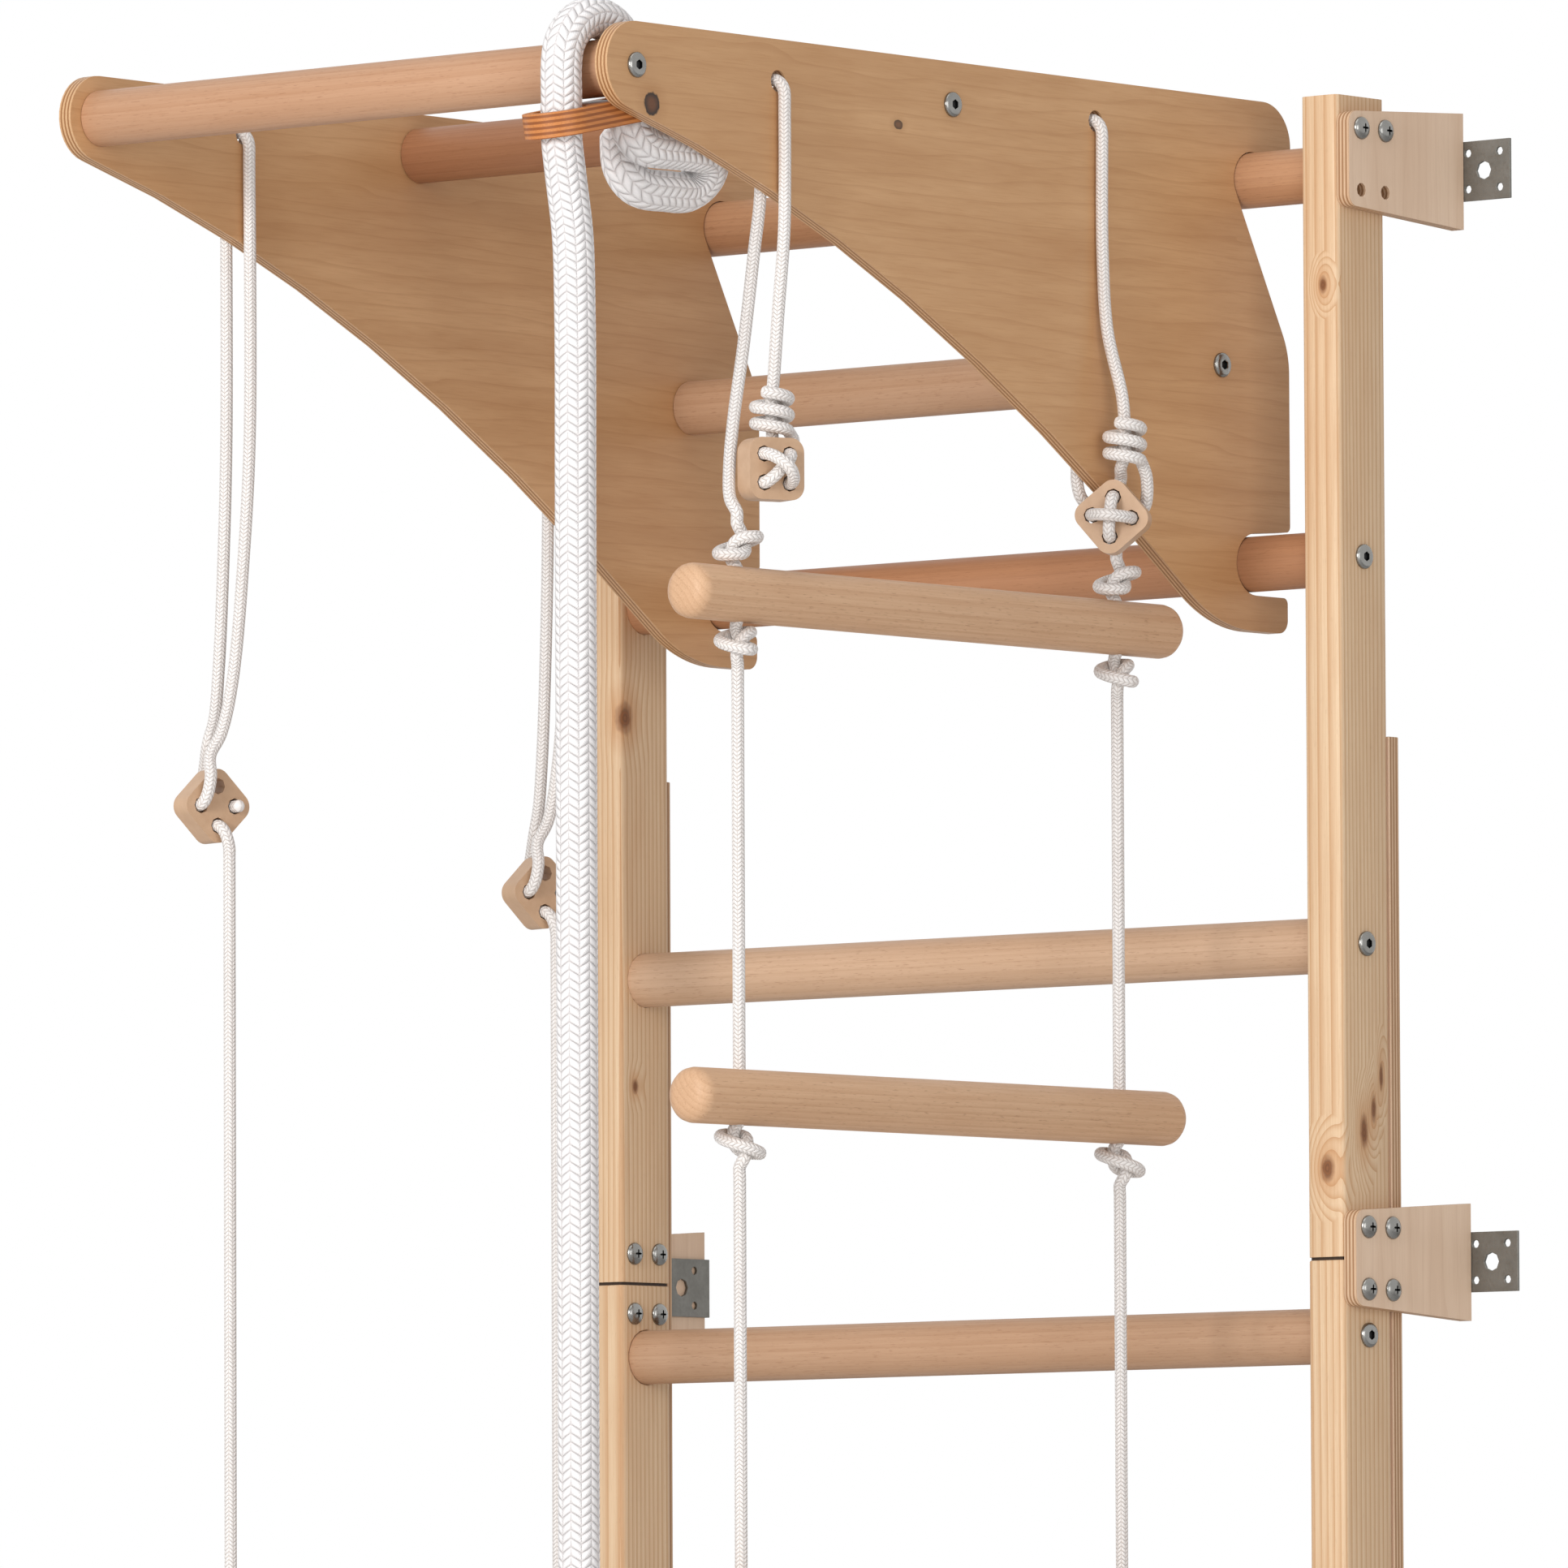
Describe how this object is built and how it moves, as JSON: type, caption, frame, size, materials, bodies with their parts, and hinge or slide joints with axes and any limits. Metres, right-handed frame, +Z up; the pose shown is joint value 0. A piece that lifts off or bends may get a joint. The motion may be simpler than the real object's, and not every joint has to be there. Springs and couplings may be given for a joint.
{
  "type": "swedish wall bars",
  "caption": "Wooden wall bars with a hook-on pull-up unit, climbing rope, rope ladder and gymnastic rings on laced toggles",
  "frame": {"origin": "on the wall plane at floor level, midway between the posts", "axes": "+X along the rungs to the right seen from the room, +Y into the wall, +Z up"},
  "size_m": [0.74, 0.7644, 2.2759],
  "materials": {
    "pine": "sealed pale softwood with fine straight grain, satin",
    "beech": "turned hardwood, pinkish tan, satin lacquer",
    "birch_ply": "clear-lacquered birch plywood, semi-gloss face, layered edges",
    "pale_ply": "unstained plywood, matt",
    "stained_ply": "brown stained plywood, satin",
    "ring_wood": "bent laminated wood, satin",
    "angle_steel": "zinc-plated pressed steel, dull",
    "braided_cord": "off-white braided polyamide cord, slight sheen",
    "braided_rope": "off-white braided rope, matt",
    "moulded_toggle": "moulded tan plastic, satin"
  },
  "bodies": {
    "wall_frame": {"left_post_upper": "pine", "left_post_middle": "pine", "left_post_lower": "pine", "right_post_upper": "pine", "right_post_middle": "pine", "right_post_lower": "pine", "rung_1": "beech", "rung_2": "beech", "rung_3": "beech", "rung_4": "beech", "rung_5": "beech", "rung_6": "beech", "rung_7": "beech", "rung_8": "beech", "rung_9": "beech", "left_splice_batten_1": "pale_ply", "left_splice_batten_2": "pale_ply", "right_splice_batten_1": "pale_ply", "right_splice_batten_2": "pale_ply", "left_bracket_top": "pale_ply", "left_bracket_upper_splice": "pale_ply", "left_bracket_lower_splice": "pale_ply", "right_bracket_top": "pale_ply", "right_bracket_upper_splice": "pale_ply", "right_bracket_lower_splice": "pale_ply", "left_wall_angle_top": "angle_steel", "left_wall_angle_upper_splice": "angle_steel", "left_wall_angle_lower_splice": "angle_steel", "right_wall_angle_top": "angle_steel", "right_wall_angle_upper_splice": "angle_steel", "right_wall_angle_lower_splice": "angle_steel"},
    "pull_up_unit": {"left_side_panel": "birch_ply", "right_side_panel": "birch_ply", "pull_up_bar": "beech", "middle_dowel": "beech", "rear_dowel": "beech", "ladder_front_toggle": "moulded_toggle", "ladder_rear_toggle": "moulded_toggle", "ring_front_toggle": "moulded_toggle", "ring_rear_toggle": "moulded_toggle", "ladder_front_sling": "braided_cord", "ladder_rear_sling": "braided_cord", "ring_front_sling": "braided_cord", "ring_rear_sling": "braided_cord"},
    "climbing_rope": {"climbing_rope": "braided_rope", "rope_keeper": "stained_ply"},
    "rope_ladder": {"ladder_front_rope": "braided_cord", "ladder_rear_rope": "braided_cord", "ladder_rung_1": "beech", "ladder_rung_2": "beech", "ladder_rung_3": "beech", "ladder_rung_4": "beech", "ladder_rung_5": "beech"},
    "front_ring": {"ring_front_rope": "braided_cord", "ring_front": "ring_wood"},
    "rear_ring": {"ring_rear_rope": "braided_cord", "ring_rear": "ring_wood"}
  },
  "joints": [
    {"name": "unit_tilt", "type": "hinge", "parent": "wall_frame", "child": "pull_up_unit", "pos_m": [0, -0.097, 2.206], "axis": [-1, 0, 0], "range_deg": [0, 50]},
    {"name": "rope_swing", "type": "hinge", "parent": "pull_up_unit", "child": "climbing_rope", "pos_m": [0, -0.707, 2.231], "axis": [-1, 0, 0], "range_deg": [-1, 30]},
    {"name": "ladder_swing", "type": "hinge", "parent": "pull_up_unit", "child": "rope_ladder", "pos_m": [0.23, -0.423, 1.954], "axis": [0, -1, 0], "range_deg": [-8, 25]},
    {"name": "front_ring_swing", "type": "hinge", "parent": "pull_up_unit", "child": "front_ring", "pos_m": [-0.2115, -0.597, 1.765], "axis": [0, 1, 0], "range_deg": [-25, 25]},
    {"name": "rear_ring_swing", "type": "hinge", "parent": "pull_up_unit", "child": "rear_ring", "pos_m": [-0.2115, -0.279, 1.723], "axis": [0, 1, 0], "range_deg": [-25, 25]}
  ]
}
